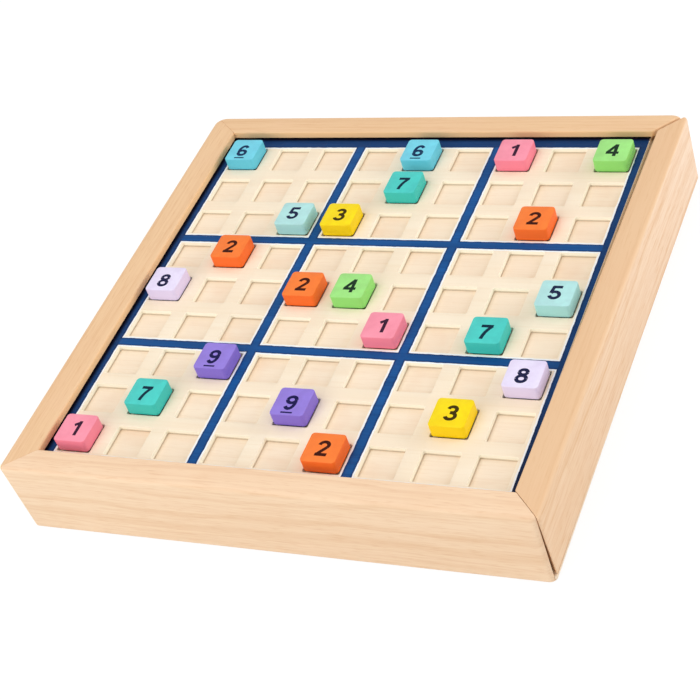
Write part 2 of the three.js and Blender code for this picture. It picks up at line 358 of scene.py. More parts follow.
def set_surface(tree, shader, colour, pattern, roughness, mirror):
    """Sets a shader's colour, its roughness, which follows a pattern between two limits, and how
    strongly it mirrors."""
    tree.links.new(colour, shader.inputs["Base Color"])
    tree.links.new(span(tree, pattern, *NOISE_BAND, *roughness), shader.inputs["Roughness"])
    shader.inputs["Specular IOR Level"].default_value = mirror


def raise_grain(tree, shader, height, strength, relief):
    inputs = {"Strength": strength, "Distance": relief, "Height": height}
    tree.links.new(add_node(tree, "ShaderNodeBump", inputs).outputs[0], shader.inputs["Normal"])


print("Middle grey in the shader:", round(screen_colour(128, 128, 128)[0], 3))

# %% [markdown]
# ## Wood finish
# Planed pine is pale between its rings and darker in them, with deeper patches and a faint blush.
# One colour with a bump would look like plastic, so each of these is a layer of its own. A clear
# matt lacquer mirrors little, and the fibres stand up by about a tenth of a millimetre.

# %% Wood finish
BLUSH = screen_colour(240, 198, 160)
FAINT_LINES = 0.25
RING_HEIGHT = 0.4
WOOD_ROUGHNESS = (0.5, 0.64)
WOOD_MIRROR = 0.25
WOOD_RELIEF = 0.12 * MM
WOOD_BUMP = 0.25


def wood_finish(name, along_y, seed, pith, colours,
                ring_width=3.2 * MM, wander=6 * MM, depth=0.45, shade=None):
    """Wood in a pale, a late and a deep colour. The depth is the strength of its lines, and shade
    tints the faces of one piece, with painted light or shade and with streaks of the grain."""
    material, tree, shader = new_finish(name)
    pale, late, deep = colours
    ring, fibre, patch, pore = plank(tree, along_y, seed, pith, ring_width, wander)
    strength = span(tree, patch, *NOISE_BAND, FAINT_LINES * depth, depth)
    colour = mix_colours(tree, calculate(tree, "MULTIPLY", ring, strength), pale, late)
    colour = overlay(tree, colour, patch, deep, low=0.38, high=0.75, share=0.55)
    colour = overlay(tree, colour, fibre, late, low=0.5, high=0.8, share=0.35)
    colour = overlay(tree, colour, pore, late, low=0.58, high=0.75, share=depth)
    cloud = noise(tree, scale=32.0, detail=3.0)
    colour = overlay(tree, colour, cloud, BLUSH, low=0.5, high=0.75, share=0.4)
    if shade:
        streak = calculate(tree, "ADD", ring, span(tree, pore, 0.5, 0.75, 0, 1))
        colour = shade(tree, colour, calculate(tree, "ADD", streak, span(tree, fibre, 0.45, 0.8, 0, 1)))
    set_surface(tree, shader, colour, fibre, WOOD_ROUGHNESS, WOOD_MIRROR)
    height = calculate(tree, "ADD", calculate(tree, "MULTIPLY", ring, RING_HEIGHT), fibre)
    raise_grain(tree, shader, height, WOOD_BUMP, WOOD_RELIEF)
    return material


print("Blush of the wood in the shader:", [round(level, 3) for level in BLUSH[:3]])

# %% [markdown]
# ## Pine of the rails
# The four rails come from four planks, so each has its own seed, pith and strength of grain. Their
# faces are also tinted one by one: the inner faces are painted warmer, as painted bounce light, the
# drawer's top is painted darker, as painted shade, and its outer face lighter towards the back, as
# painted light. The front face is tinted lighter, most at the left, and the front face and the
# drawer's face are more streaked. A tint that asks which way a face looks keeps that on the wood,
# from wherever it is seen.

# %% Pine of the rails
WARM_PINE = [screen_colour(242, 203, 160), screen_colour(216, 163, 116), screen_colour(233, 190, 146)]
LIGHT_PINE = [screen_colour(249, 217, 183), screen_colour(226, 180, 140), screen_colour(241, 204, 168)]
PALE_PINE = [screen_colour(241, 205, 166), screen_colour(219, 172, 126), screen_colour(234, 193, 150)]
# Tints of painted light and shade: warm painted bounce light on the inner faces, painted shade on the
# drawer's top, painted light on its outer face
BOUNCE_LIGHT_PINE = screen_colour(255, 208, 154)
PAINTED_TOP_SHADE = screen_colour(226, 176, 128)
PAINTED_FACE_LIGHT = screen_colour(255, 230, 208)
FRONT_PINE = screen_colour(255, 227, 194)
STREAK_PINE = screen_colour(224, 172, 116)
FRONT_STREAK = 0.17
DRAWER_STREAK = 0.36
TURNED = (0.7, 0.95)


def frame_axes(tree):
    return add_node(tree, "ShaderNodeSeparateXYZ", {0: frame_place(tree)}).outputs


def facing(tree, axis):
    """How squarely a face looks along an axis, from -1 to 1."""
    normal = add_node(tree, "ShaderNodeNewGeometry").outputs["True Normal"]
    return add_node(tree, "ShaderNodeSeparateXYZ", {0: normal}).outputs[axis]


def face_tint(tree, colour, axis, sign, share, tint):
    """Lays a tint over the faces that look along an axis, or against it."""
    turned = span(tree, facing(tree, axis), TURNED[0] * sign, TURNED[1] * sign, 0, share)
    return mix_colours(tree, turned, colour, tint)


# Painted bounce light: the left rail's inner face is tinted warmer.
def left_inner_painted_light(tree, colour, streak):
    return face_tint(tree, colour, "X", sign=1, share=0.8, tint=BOUNCE_LIGHT_PINE)


# Painted bounce light: the back rail's inner face is tinted warmer.
def back_inner_painted_light(tree, colour, streak):
    return face_tint(tree, colour, "Y", sign=-1, share=0.85, tint=BOUNCE_LIGHT_PINE)


def front_faces(tree, colour, streak):
    along = span(tree, frame_axes(tree)["X"], -140 * MM, 100 * MM, 0.65, 0.4)
    colour = face_tint(tree, colour, "Y", sign=-1, share=along, tint=FRONT_PINE)
    streaks = calculate(tree, "MULTIPLY", streak, FRONT_STREAK)
    return face_tint(tree, colour, "Y", sign=-1, share=streaks, tint=STREAK_PINE)


# Painted shade on the drawer's top, painted light on its outer face towards the back, and grain
# streaks.
def drawer_painted_light_and_streaks(tree, colour, streak):
    colour = face_tint(tree, colour, "Z", sign=1, share=0.28, tint=PAINTED_TOP_SHADE)
    along = span(tree, frame_axes(tree)["Y"], -100 * MM, 140 * MM, 0.2, 0.7)
    colour = face_tint(tree, colour, "X", sign=1, share=along, tint=PAINTED_FACE_LIGHT)
    streaks = calculate(tree, "MULTIPLY", streak, DRAWER_STREAK)
    return face_tint(tree, colour, "X", sign=1, share=streaks, tint=STREAK_PINE)


rail_finishes = {
    "left_rail": wood_finish("pine_left_rail", along_y=True, seed=0.31, pith=(-0.17, 0.09),
                             colours=WARM_PINE, depth=0.36, shade=left_inner_painted_light),
    "front_rail": wood_finish("pine_front_rail", along_y=False, seed=1.73, pith=(-0.19, 0.06),
                              colours=LIGHT_PINE, ring_width=3.6 * MM, wander=12 * MM,
                              shade=front_faces),
    "back_rail": wood_finish("pine_back_rail", along_y=False, seed=2.57, pith=(0.10, -0.04),
                             colours=WARM_PINE, depth=0.28, shade=back_inner_painted_light),
    "drawer_front": wood_finish("pine_drawer_front", along_y=True, seed=3.19, pith=(0.21, 0.12),
                                colours=PALE_PINE, depth=0.3, shade=drawer_painted_light_and_streaks),
}
print("Pine for", ", ".join(rail_finishes))

# %% [markdown]
# ## Measures of the rails
# The rails have to fit the solids, so their sizes are read off the solids' boxes and not typed
# again. What is given here is only what sanding and fitting add on a real case: rounded edges, and
# a little play between a sheet and the groove or rebate that holds it. The groove is open above the
# board, as a dark line under the rails shows.

# %% Measures of the rails
rail_low, rail_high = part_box("front_rail")
left_low, left_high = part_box("left_rail")
panel_low, panel_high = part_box("bottom_panel")
backing_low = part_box("backing_sheet")[0]
grid_low, grid_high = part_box("grid_sheet")
front_low, front_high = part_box("drawer_front")
CASE_WIDTH = front_high.x - left_low.x
CASE_DEPTH = -2 * rail_low.y
CASE_HEIGHT = rail_high.z
RAIL_WIDTH = rail_high.y - rail_low.y
EDGE_ROUND = 2.2 * MM
FOOT_ROUND = 1.1 * MM
INNER_ROUND = 1.0 * MM
SHEET_PLAY = 0.1 * MM
GROOVE_PLAY = 1.4 * MM
REBATE_PLAY = 0.05 * MM
REBATE_DEPTH = RAIL_WIDTH - (panel_low.x - left_low.x) + SHEET_PLAY
GROOVE_DEPTH = RAIL_WIDTH - (grid_low.x - left_low.x) + SHEET_PLAY
print("Case", in_mm(CASE_WIDTH, CASE_DEPTH, CASE_HEIGHT), "mm, rail, groove and rebate",
      in_mm(RAIL_WIDTH, GROOVE_DEPTH, REBATE_DEPTH), "mm")

# %% [markdown]
# ## Cross-sections
# A rail is a length of moulding: one cross-section, planed along the whole bar, with a groove for
# the printed board and a rebate for the bottom panel. The drawer front has the same rounded top,
# but inside it has only the slot that holds the drawer's bottom. A section is a ring of points,
# each an inset from the outer face and a height: up the outer face, over the top and down the inner
# face.

# %% Cross-sections
ROUND_STEPS = 6
SLOT_DEPTH = 2.5 * MM
DRAWER_FOOT_ROUND = 0.6 * MM


def quarter(centre, radius, start):
    """Points of a quarter circle that turns clockwise from the start angle, in degrees."""
    steps = [radians(start - 90 * step / ROUND_STEPS) for step in range(ROUND_STEPS + 1)]
    return [(centre[0] + radius * cos(turn), centre[1] + radius * sin(turn)) for turn in steps]


def rounded_top():
    outer = quarter((EDGE_ROUND, CASE_HEIGHT - EDGE_ROUND), EDGE_ROUND, 180)
    inner = quarter((RAIL_WIDTH - INNER_ROUND, CASE_HEIGHT - INNER_ROUND), INNER_ROUND, 90)
    return outer + inner


def rail_section():
    groove = RAIL_WIDTH - GROOVE_DEPTH
    groove_low, groove_high = backing_low.z - SHEET_PLAY, grid_high.z + GROOVE_PLAY
    rebate = RAIL_WIDTH - REBATE_DEPTH
    rebate_high = panel_high.z + REBATE_PLAY
    inside = [(RAIL_WIDTH, groove_high), (groove, groove_high), (groove, groove_low),
              (RAIL_WIDTH, groove_low), (RAIL_WIDTH, rebate_high), (rebate, rebate_high), (rebate, 0)]
    return rounded_top() + inside + quarter((FOOT_ROUND, FOOT_ROUND), FOOT_ROUND, 270)


def drawer_front_section():
    floor_low, floor_high = (corner.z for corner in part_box("drawer_bottom"))
    slot = RAIL_WIDTH - SLOT_DEPTH
    slot_low, slot_high = floor_low - SHEET_PLAY, floor_high + SHEET_PLAY
    inside = [(RAIL_WIDTH, backing_low.z), (RAIL_WIDTH, slot_high), (slot, slot_high), (slot, slot_low),
              (RAIL_WIDTH, slot_low), (RAIL_WIDTH, front_low.z)]
    foot = (DRAWER_FOOT_ROUND, front_low.z + DRAWER_FOOT_ROUND)
    return rounded_top() + inside + quarter(foot, DRAWER_FOOT_ROUND, 270)


print("Section points:", len(rail_section()), "on a rail,",
      len(drawer_front_section()), "on the drawer front")

# %% [markdown]
# ## The way round a corner
# The case is sanded after gluing, which rounds its outer corners. A curve with a bevel could sweep
# the section, but not round such a corner and up to a mitre. So each point of the section travels
# on its own line: near the outer face it turns with the corner, on an arc whose radius shrinks with
# its inset, and further in it runs straight to the mitre.

# %% The way round a corner
CORNER_STEPS = 6
RUN_SHARE = 0.5


def end_angle(radius, gap):
    """How far round the corner a point gets before it meets the mitre, which stands back by a gap."""
    return acos(gap / (sqrt(2) * radius)) - pi / 4 if radius > gap else 0.0


def end_path(inset, half_length, gap, corner):
    """(Inset, distance along) of one section point, from the straight run to the mitre."""
    radius = max(corner - inset, 0.0)
    turn = end_angle(radius, gap)
    path = []
    for step in range(CORNER_STEPS + 1):
        angle = turn * step / CORNER_STEPS
        if turn > 0:
            path.append((corner - radius * cos(angle), half_length - corner + radius * sin(angle)))
        else:
            left_to_run = (1 - step / CORNER_STEPS) * corner * RUN_SHARE
            path.append((inset, half_length - inset - gap - left_to_run))
    return path


print("Points on the way round a corner:", CORNER_STEPS + 1)

# %% [markdown]
# ## Sweeping a mitred bar
# A bar is a row of rings, from one mitre to the other, and each ring is the section at one step of
# that way. A sawn mitre would be razor sharp, so the last steps draw the section in by a fraction of
# a millimetre, and its arris catches a little light. A bevel limited by angle could do this, but it
# would also round the edges of the groove.

# %% Sweeping a mitred bar
ARRIS_STEPS = 3
SHARPEST = 0.4


def drawn_in(section, amount):
    """The section offset inwards, each corner along its own bisector."""
    result = []
    for index, point in enumerate(section):
        here = Vector(point)
        before = Vector(section[index - 1])
        after = Vector(section[(index + 1) % len(section)])
        sides = ((here - before).normalized(), (after - here).normalized())
        normals = [Vector((side.y, -side.x)) for side in sides]
        bisector = (normals[0] + normals[1]).normalized()
        reach = amount / max(bisector.dot(normals[0]), SHARPEST)
        result.append(tuple(here + bisector * reach))
    return result


def end_rings(section, half_length, side, top_gap, foot_gap, arris, corner):
    """Rings of section points towards one end of a bar, the last ones round its arris. The mitre
    stands back by a gap that may change from its foot to its top."""
    def ring(outline, step, back):
        points = []
        for inset, height in outline:
            gap = foot_gap + (top_gap - foot_gap) * height / CASE_HEIGHT + back
            across, along = end_path(inset, half_length, gap, corner)[step]
            points.append((side * along, across, height))
        return points

    rings = [ring(section, step, arris) for step in range(CORNER_STEPS + 1)]
    for step in range(1, ARRIS_STEPS + 1):
        turn = radians(90 * step / ARRIS_STEPS)
        smaller = drawn_in(section, arris * (1 - cos(turn)))
        rings.append(ring(smaller, CORNER_STEPS, arris * (1 - sin(turn))))
    return rings


def mitred_bar(section, length, ends):
    """The rings of a bar along X, with insets towards +Y, from one mitre to the other."""
    first, last = (end_rings(section, length / 2, side, **end) for side, end in zip((-1, 1), ends))
    return first[::-1] + last


print("Rings in a bar:", 2 * (CORNER_STEPS + 1 + ARRIS_STEPS))

# %% [markdown]
# ## From rings to a mesh
# Quads between neighbouring rings and a cap on each end close the bar. Smooth shading makes the
# rounds look round, and edges that turn by more than an angle stay sharp, so the flat sides stay
# flat. Building the mesh in bmesh, instead of with modifiers, gives the final faces at once.

# %% From rings to a mesh
SHARP_EDGE = 40


def finish_mesh(name, bm, sharp=SHARP_EDGE):
    mesh = bpy.data.meshes.new(name)
    bm.to_mesh(mesh)
    bm.free()
    mesh.shade_smooth()
    mesh.set_sharp_from_angle(angle=radians(sharp))
    return place_in_scene(name, mesh)


def mesh_of_rings(name, rings, place):
    """A closed piece of rings; place turns a point of a ring into one of the frame."""
    bm = bmesh.new()
    made = [[bm.verts.new(place(Vector(point))) for point in ring] for ring in rings]
    count = len(rings[0])
    for first, second in zip(made, made[1:]):
        for index in range(count):
            after = (index + 1) % count
            bm.faces.new((first[index], first[after], second[after], second[index]))
    bm.faces.new(reversed(made[0]))
    bm.faces.new(made[-1])
    bmesh.ops.recalc_face_normals(bm, faces=bm.faces)
    return finish_mesh(name, bm)


print("Edges stay sharp from", SHARP_EDGE, "degrees")

# %% [markdown]
# ## How the rails lie
# A bar is made along X and has to be turned to its side of the case. Perfect bars could simply be
# rotated, but they would lose the marks of real work: the left rail was planed a little wider at its
# top, and the drawer isn't pushed quite home, so that its front stands out towards the back and its
# inner edge runs askew. So each rail has its own function that sets its points in the frame.

# %% How the rails lie
DRAWER_LEAN = 1.8 * MM
EDGE_SKEW = 0.85 * MM
LEFT_EXTRA = 2.7 * MM
half_x, half_y = CASE_WIDTH / 2, CASE_DEPTH / 2


def widened(point):
    """Moves the outside of the left rail out, most of all at its top; its mitres follow."""
    share = max(left_high.x - point.x, 0.0) / RAIL_WIDTH
    extra = LEFT_EXTRA * point.z / CASE_HEIGHT
    return point - Vector((share * extra, 0, 0))


def front_place(point):
    return widened(Vector((point.x, point.y - half_y, point.z)))


def back_place(point):
    return widened(Vector((-point.x, half_y - point.y, point.z)))


def left_place(point):
    return widened(Vector((point.y - half_x, -point.x, point.z)))


def lean(along):
    """How far the drawer stands out, from nothing at its front end."""
    return DRAWER_LEAN * (along + half_y) / CASE_DEPTH


def drawer_place(point):
    """The drawer front leans out, and its inner top edge runs askew, the mitres following."""
    above = max(point.z - backing_low.z, 0.0) / (CASE_HEIGHT - backing_low.z)
    skew = EDGE_SKEW * above * point.y / RAIL_WIDTH
    out = lean(point.x) + skew * 2 * point.x / CASE_DEPTH
    return Vector((half_x - point.y + out, point.x + skew, point.z))


print("Left rail wider by", in_mm(LEFT_EXTRA), "mm, drawer out by", in_mm(DRAWER_LEAN), "mm")

# %% [markdown]
# ## The four rails
# The glued mitres are tight. The drawer front only meets its neighbours, so its mitres are open: an
# even line at the back, and at the front a gap that widens towards the foot. Sanding has rounded
# the corners at the back the most. Each end of a bar therefore has its own gaps, arris and corner.

# %% The four rails
GLUED = {"top_gap": 0.05 * MM, "foot_gap": 0.05 * MM, "arris": 0.15 * MM, "corner": 3 * MM}
BACK_GLUED = {"top_gap": 0.05 * MM, "foot_gap": 0.05 * MM, "arris": 0.15 * MM, "corner": 6.5 * MM}
FRONT_SEAT = {"top_gap": 0.0, "foot_gap": 0.0, "arris": 0.2 * MM, "corner": 4.5 * MM}
BACK_SEAT = {"top_gap": 0.0, "foot_gap": 0.0, "arris": 0.9 * MM, "corner": 8 * MM}
FRONT_MITRE = {"top_gap": 0.25 * MM, "foot_gap": 2.5 * MM, "arris": 0.2 * MM, "corner": 3 * MM}
BACK_MITRE = {"top_gap": 0.6 * MM, "foot_gap": 0.6 * MM, "arris": 0.5 * MM, "corner": 6 * MM}
RAILS = {
    "front_rail": (rail_section, CASE_WIDTH, (GLUED, FRONT_SEAT), front_place),
    "back_rail": (rail_section, CASE_WIDTH, (BACK_SEAT, BACK_GLUED), back_place),
    "left_rail": (rail_section, CASE_DEPTH, (BACK_GLUED, GLUED), left_place),
    "drawer_front": (drawer_front_section, CASE_DEPTH, (FRONT_MITRE, BACK_MITRE), drawer_place),
}
for node, (section, length, ends, place) in RAILS.items():
    rail = mesh_of_rings("pine_" + node, mitred_bar(section(), length, ends), place)
    dress(rail, rail_finishes[node])
    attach(rail, "drawer" if node == "drawer_front" else "case")
    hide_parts(node)
    print(rail.name, len(rail.data.polygons), "faces", in_mm(*rail.dimensions), "mm")

# %% [markdown]
# ## Plywood and drawer boards
# The bottom panel and the drawer's bottom are thin birch plywood, paler and plainer than the pine.
# The drawer's sides and back are plain pine that no lacquer covers. Their solids are already right,
# so the panel only gets a finish, and the drawer's boards are copies of the solids that lean out
# with the drawer front.

# %% Plywood and drawer boards
PLYWOOD = [screen_colour(252, 233, 208), screen_colour(240, 212, 180), screen_colour(248, 223, 195)]
RAW_PINE = [screen_colour(243, 208, 163), screen_colour(214, 160, 108), screen_colour(234, 192, 142)]

ply_base = wood_finish("plywood_base", along_y=True, seed=5.37, pith=(0.4, -0.6), colours=PLYWOOD,
                       ring_width=8 * MM, wander=30 * MM, depth=0.5)
raw_side = wood_finish("raw_pine_side", along_y=False, seed=6.21, pith=(0.05, -0.07), colours=RAW_PINE)
raw_back = wood_finish("raw_pine_back", along_y=True, seed=7.43, pith=(0.06, -0.05), colours=RAW_PINE)
dress(nodes["bottom_panel"], ply_base)
drawer_boards = {
    "drawer_bottom": ("plywood", ply_base),
    "drawer_side_front": ("drawer_pine", raw_side),
    "drawer_side_back": ("drawer_pine", raw_side),
    "drawer_back": ("drawer_pine", raw_back),
}
for node, (slot, material) in drawer_boards.items():
    board = place_in_scene("leaning_" + node, nodes[node].data.copy())
    for vert in board.data.vertices:
        vert.co.x += lean(vert.co.y)
    dress(board, material)
    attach(board, "drawer")
    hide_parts(node)
print("Drawer boards:", ", ".join(drawer_boards))
print("They lean out by", in_mm(DRAWER_LEAN), "mm at the back")

# %% [markdown]
# ## Measures of the grid
# One sheet carries the whole grid: square wells are cut through it, three by three to a block, and
# its face is printed cream with blue bands between the blocks and a white line along each band. The
# tiles stand in the middle of their wells, so two of them, far apart, give the pitch and the middle
# of the grid.

# %% Measures of the grid
BLOCK_CELLS = 3
SIDE_CELLS = 4
WHITE_LINE = 1.0 * MM
LINE_MARGIN = 0.45 * MM
WELL_PLAY = 1.0 * MM
tile_low, tile_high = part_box("tile_4_r5c5")
corner_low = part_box("tile_6_r1c1")[0]
TILE_SIZE = tile_high.x - tile_low.x
TILE_HEIGHT = tile_high.z - tile_low.z
CELL_PITCH = (tile_low.x - corner_low.x) / SIDE_CELLS
GRID_MIDDLE = Vector(((tile_low.x + tile_high.x) / 2, (tile_low.y + tile_high.y) / 2))
WELL_SIZE = TILE_SIZE + WELL_PLAY
BLOCK_PITCH = BLOCK_CELLS * CELL_PITCH
BLOCK_HALF = CELL_PITCH + WELL_SIZE / 2 + WHITE_LINE + LINE_MARGIN
print("Pitch, well and block", in_mm(CELL_PITCH, WELL_SIZE, 2 * BLOCK_HALF), "mm")

# %% [markdown]
# ## Where the print lies
# A picture of the print could be laid on the sheet, but its lines would blur near the camera. The
# print repeats from block to block, so the shader works it out: how far does a point lie from the
# middle of its block? That is sharp at any distance. On the real sheet the print sits a little off
# the wells, and its right edge runs askew, so it has a shift and a skew of its own.

# %% Where the print lies
PRINT_SHIFT = -0.4 * MM
EDGE_ENDS = (-130 * MM, 125 * MM)
EDGE_OFF = (1.3 * MM, -0.75 * MM)
EDGE_ZONE = (100 * MM, 115 * MM)


def askew(tree):
    """The place from left to right as the print has it, with its right edge askew."""
    axes = frame_axes(tree)
    off = span(tree, axes["Y"], *EDGE_ENDS, *EDGE_OFF)
    beside = span(tree, axes["X"], *EDGE_ZONE, 0, 1)
    return calculate(tree, "SUBTRACT", axes["X"], calculate(tree, "MULTIPLY", beside, off))


def middle_distance(tree, pitch, last, printed=False):
    """How far a point lies from the middle of its cell or block, the greater of both ways; last is
    the number of cells or blocks on each side of the middle one."""
    axes = frame_axes(tree)
    across = askew(tree) if printed else axes["X"]
    shift = PRINT_SHIFT if printed else 0.0
    ways = []
    for along, middle in ((across, GRID_MIDDLE.x), (axes["Y"], GRID_MIDDLE.y + shift)):
        share = calculate(tree, "DIVIDE", calculate(tree, "SUBTRACT", along, middle), pitch)
        nearest = calculate(tree, "MINIMUM", calculate(tree, "ROUND", share), last)
        nearest = calculate(tree, "MAXIMUM", nearest, -last)
        off = calculate(tree, "MULTIPLY", calculate(tree, "SUBTRACT", share, nearest), pitch)
        ways.append(calculate(tree, "ABSOLUTE", off))
    return calculate(tree, "MAXIMUM", *ways)


print("Print shifted by", in_mm(PRINT_SHIFT), "mm, its right edge, front and back, by",
      in_mm(*EDGE_OFF), "mm")

# %% [markdown]
# ## Inks of the print
# The sheet is printed cream, with dark blue bands. A flat blue would look like a sticker, because
# real ink soaks into the plywood and shows its fibres. So the blue is built up in layers, and it is
# deeper along the white lines; round the rim and beside the rails it is darkened as painted shade.

# %% Inks of the print
CREAM = screen_colour(253, 238, 214)
DEEP_CREAM = screen_colour(249, 230, 203)
FIBRE_CREAM = screen_colour(243, 219, 186)
BLUE = screen_colour(16, 74, 134)
BRIGHT_BLUE = screen_colour(22, 88, 156)
FIBRE_BLUE = screen_colour(12, 54, 108)
NAVY = screen_colour(10, 34, 78)
PAINTED_RAIL_SHADE_NAVY = screen_colour(14, 14, 36)
RAIL_SHADE = (2.4 * MM, 0.2 * MM)
DRAWER_ZONE = (124.4 * MM, 126.4 * MM)
FRONT_ZONE = (-130 * MM, -50 * MM)
NEAR_LINE = 1.4 * MM
RIM_BAND = 0.4 * MM


def cream_print(tree, fibre, patch):
    cream = overlay(tree, CREAM, patch, DEEP_CREAM, low=0.3, high=0.7, share=1)
    return overlay(tree, cream, fibre, FIBRE_CREAM, low=0.5, high=0.8, share=0.4)


def blue_print(tree, fibre, patch, reach):
    blue = overlay(tree, BLUE, patch, BRIGHT_BLUE, low=0.3, high=0.7, share=1)
    blue = overlay(tree, blue, fibre, FIBRE_BLUE, low=0.45, high=0.75, share=0.4)
    near_line = span(tree, reach, BLOCK_HALF, BLOCK_HALF + NEAR_LINE, 0.75, 0)
    blue = mix_colours(tree, near_line, blue, NAVY)
    # Painted shade of the rails: the rim band round the outer blocks is darkened.
    rim = middle_distance(tree, BLOCK_PITCH, 0, printed=True)
    outer = BLOCK_HALF + BLOCK_PITCH
    return overlay(tree, blue, rim, NAVY, low=outer, high=outer + RIM_BAND, share=0.5)


def rail_shade(tree, blue):
    """Painted shade: darkens the blue beside the rails, and once more beside the drawer towards the
    front.
    """
    axes = frame_axes(tree)
    beside = []
    for axis, opening in (("X", -left_high.x), ("Y", -rail_high.y)):
        off = calculate(tree, "ABSOLUTE", axes[axis])
        beside.append(span(tree, off, opening - RAIL_SHADE[0], opening - RAIL_SHADE[1], 0, 1))
    blue = mix_colours(tree, calculate(tree, "MAXIMUM", *beside), blue, PAINTED_RAIL_SHADE_NAVY)
    right_side = span(tree, axes["X"], *DRAWER_ZONE, 0, 0.85)
    towards_front = span(tree, axes["Y"], *FRONT_ZONE, 1, 0)
    return mix_colours(tree, calculate(tree, "MULTIPLY", right_side, towards_front), blue, PAINTED_RAIL_SHADE_NAVY)


print("Blue darkens over", in_mm(RAIL_SHADE[0]), "mm beside the rails")

# %% [markdown]
# ## Finish of the sheet
# The ink's edges are ragged by a fraction of a millimetre. The cut walls of the wells are bare: pale
# plies, darker at the foot, as painted shade where the wall meets the floor. Face and walls could be
# two materials, but the height alone tells them apart, so one finish serves the whole sheet.

# %% Finish of the sheet
LINE_WHITE = screen_colour(247, 250, 252)
PALE_PLY = screen_colour(255, 250, 232)
DEEP_PLY = screen_colour(253, 243, 218)
PAINTED_SHADE_BROWN = screen_colour(158, 128, 92)
PLY_PITCH = 1.8 * MM
RAGGED = 0.18 * MM
SOFT = 0.05 * MM
SHEET_SEED = 8.6
FACE_START = (0.12 * MM, 0.08 * MM)
WALL_FOOT_SHADE_ZONE = (0.2 * MM, 0.8 * MM)
WALL_FOOT_SHADE_SHARE = 0.42
BOARD_ROUGHNESS = (0.42, 0.55)
BOARD_MIRROR = 0.15
BOARD_RELIEF = 0.1 * MM
BOARD_BUMP = 0.15


def bare_wall(tree, height):
    plies = calculate(tree, "FRACT", calculate(tree, "DIVIDE", height, PLY_PITCH))
    wall = overlay(tree, PALE_PLY, plies, DEEP_PLY, low=0.4, high=0.6, share=0.5)
    # Painted shade: the wall darkens towards its foot, where it meets the floor.
    start, end = (grid_low.z + above for above in WALL_FOOT_SHADE_ZONE)
    return mix_colours(tree, span(tree, height, start, end, WALL_FOOT_SHADE_SHARE, 0), wall, PAINTED_SHADE_BROWN)


def printed_finish():
    material, tree, shader = new_finish("printed_board")
    place = along_grain(tree, along_y=False, seed=SHEET_SEED)
    fibre, patch = (drawn_out(tree, place, **pattern)["Fac"] for pattern in (FIBRES, PATCHES))
    ragged = span(tree, noise(tree, scale=260.0, detail=2.0), 0.25, 0.75, -RAGGED, RAGGED)
    reach = calculate(tree, "ADD", middle_distance(tree, BLOCK_PITCH, 1, printed=True), ragged)
    line_start = BLOCK_HALF - WHITE_LINE + SOFT
    in_line = span(tree, reach, line_start, line_start + 2 * SOFT, 0, 1)
    in_band = span(tree, reach, BLOCK_HALF - SOFT, BLOCK_HALF + SOFT, 0, 1)
    face = mix_colours(tree, in_line, cream_print(tree, fibre, patch), LINE_WHITE)
    face = mix_colours(tree, in_band, face, rail_shade(tree, blue_print(tree, fibre, patch, reach)))
    height = frame_axes(tree)["Z"]
    on_top = span(tree, height, grid_high.z - FACE_START[0], grid_high.z - FACE_START[1], 0, 1)
    colour = mix_colours(tree, on_top, bare_wall(tree, height), face)
    set_surface(tree, shader, colour, fibre, BOARD_ROUGHNESS, BOARD_MIRROR)
    raise_grain(tree, shader, fibre, BOARD_BUMP, BOARD_RELIEF)
    return material


printed_board = printed_finish()
print("Print with", len(printed_board.node_tree.nodes), "nodes")

# %% [markdown]
# ## Cutting the wells
# Cutting 81 wells with a boolean would be slow and leave long thin faces. The plan of the sheet is
# a lattice of lines instead: its edges and both sides of each row and column of wells. Where two
# wells' strips cross there is a hole with four walls, and everywhere else there is sheet, above and
# below.


# %% Cutting the wells
def well_lines(low, high, middle):
    """Where the sheet is cut: its two edges and both sides of each of the nine wells."""
    lines = [low]
    for cell in range(-SIDE_CELLS, SIDE_CELLS + 1):
        well = middle + cell * CELL_PITCH
        lines += [well - WELL_SIZE / 2, well + WELL_SIZE / 2]
    return lines + [high]


def cut_sheet(bm, xs, ys):
    low, high = ([[bm.verts.new((x, y, z)) for y in ys] for x in xs] for z in (grid_low.z, grid_high.z))

    def wall(first, second):
        (x1, y1), (x2, y2) = first, second
        bm.faces.new([low[x1][y1], high[x1][y1], high[x2][y2], low[x2][y2]])

    last_x, last_y = len(xs) - 1, len(ys) - 1
    for column in range(last_x):
        for row in range(last_y):
            corners = [(column, row), (column + 1, row), (column + 1, row + 1), (column, row + 1)]
            if column % 2 and row % 2:
                for first, second in zip(corners, corners[1:] + corners[:1]):
                    wall(first, second)
            else:
                bm.faces.new([high[x][y] for x, y in corners])
                bm.faces.new([low[x][y] for x, y in reversed(corners)])
    for column in range(last_x):
        wall((column + 1, 0), (column, 0))
        wall((column, last_y), (column + 1, last_y))
    for row in range(last_y):
        wall((0, row), (0, row + 1))
        wall((last_x, row + 1), (last_x, row))


print("Lines each way:", len(well_lines(grid_low.y, grid_high.y, GRID_MIDDLE.y)))

# %% [markdown]
# ## The sheet with its wells
# A cutter leaves the upright corners of a well round, and sanding eases its rim. Both rounds could
# be drawn into the lattice, but two bevels are simpler: one of the edges between the walls, and a
# finer one of the edges where the top turns down. The sheet ends a little short of the drawer.

# %% The sheet with its wells
RIM_ROUND = 0.45 * MM
FREE_EDGE = 0.9 * MM
WELL_CORNER = 0.9 * MM
RIM_MARGIN = 1.0 * MM
SHARP_TURN = radians(60)
TINY = 1e-6


def is_well_corner(edge):
    """True for an upright edge that isn't at the rim of the sheet."""
    first, second = (vert.co for vert in edge.verts)
    upright = abs(abs(first.z - second.z) - (grid_high.z - grid_low.z)) < TINY
    inside_x = grid_low.x + RIM_MARGIN < first.x < grid_high.x - RIM_MARGIN
    inside_y = grid_low.y + RIM_MARGIN < first.y < grid_high.y - RIM_MARGIN
    return upright and inside_x and inside_y


